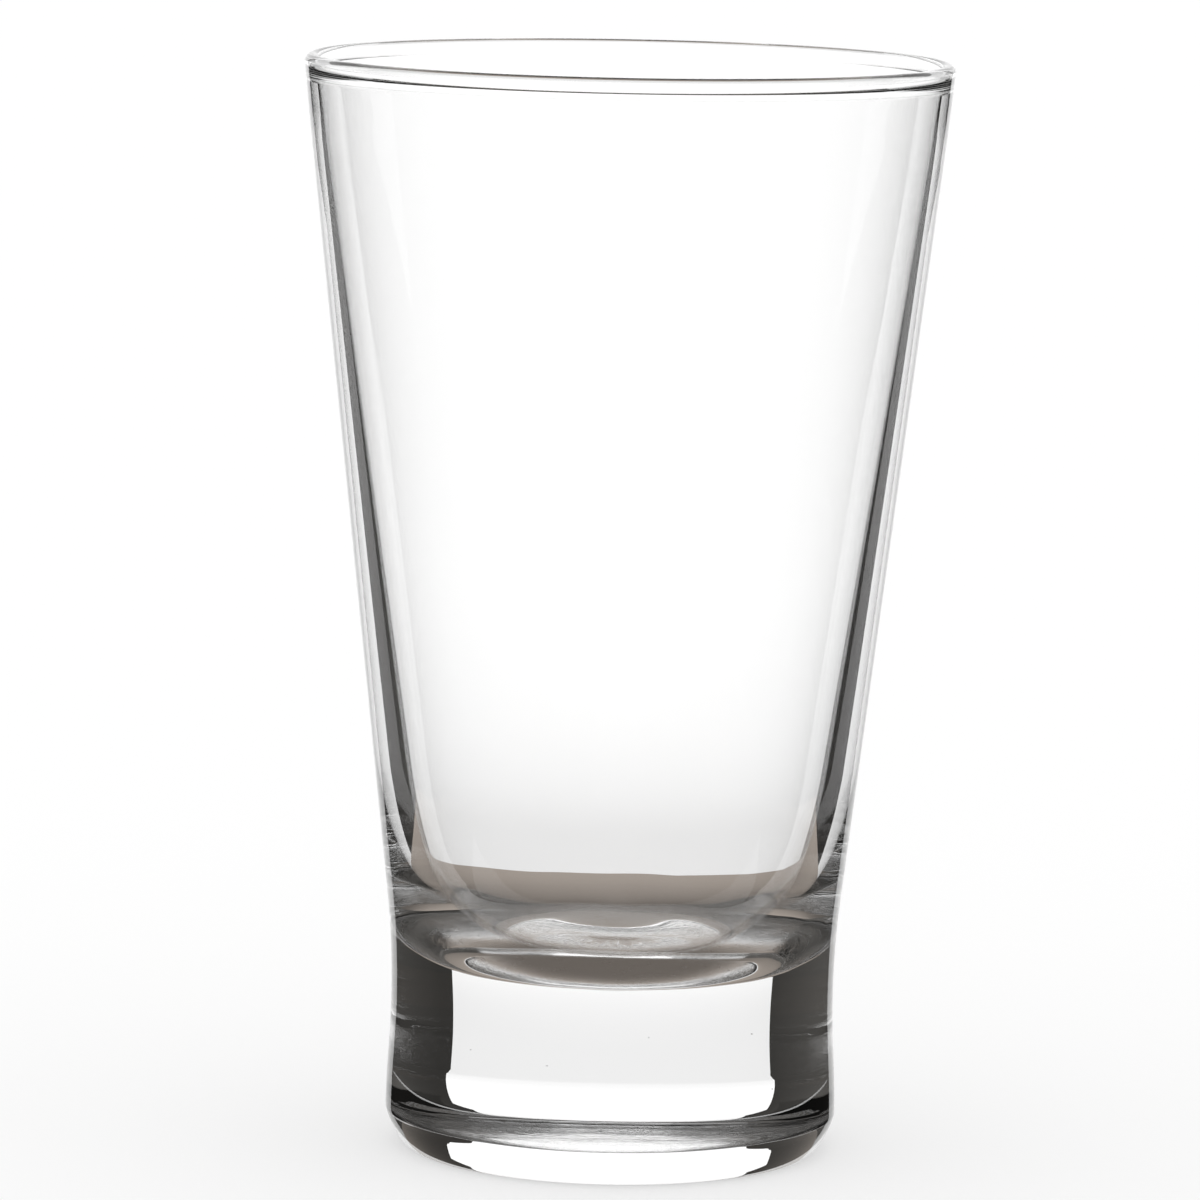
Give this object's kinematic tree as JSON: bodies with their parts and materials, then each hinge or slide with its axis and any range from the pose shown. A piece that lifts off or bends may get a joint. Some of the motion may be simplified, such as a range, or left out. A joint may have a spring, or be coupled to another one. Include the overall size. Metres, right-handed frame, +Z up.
{
  "type": "mixing glass",
  "caption": "Clear glass for mixing and stirring drinks: tall flared bowl, rounded rim bead, thick solid foot with a waist, flat standing ring underneath.",
  "frame": {"origin": "centre of the flat ring that the glass stands on", "axes": "+Z up along the glass's axis, from the foot to the rim; X and Y lie in the plane that it stands on, and any turn about Z is the same"},
  "size_m": [0.0814, 0.0814, 0.138],
  "materials": {
    "clear_glass": "clear, colourless, fire-polished; slightly rough where it stands"
  },
  "bodies": {
    "root": {"glass_body": "clear_glass"}
  },
  "joints": []
}
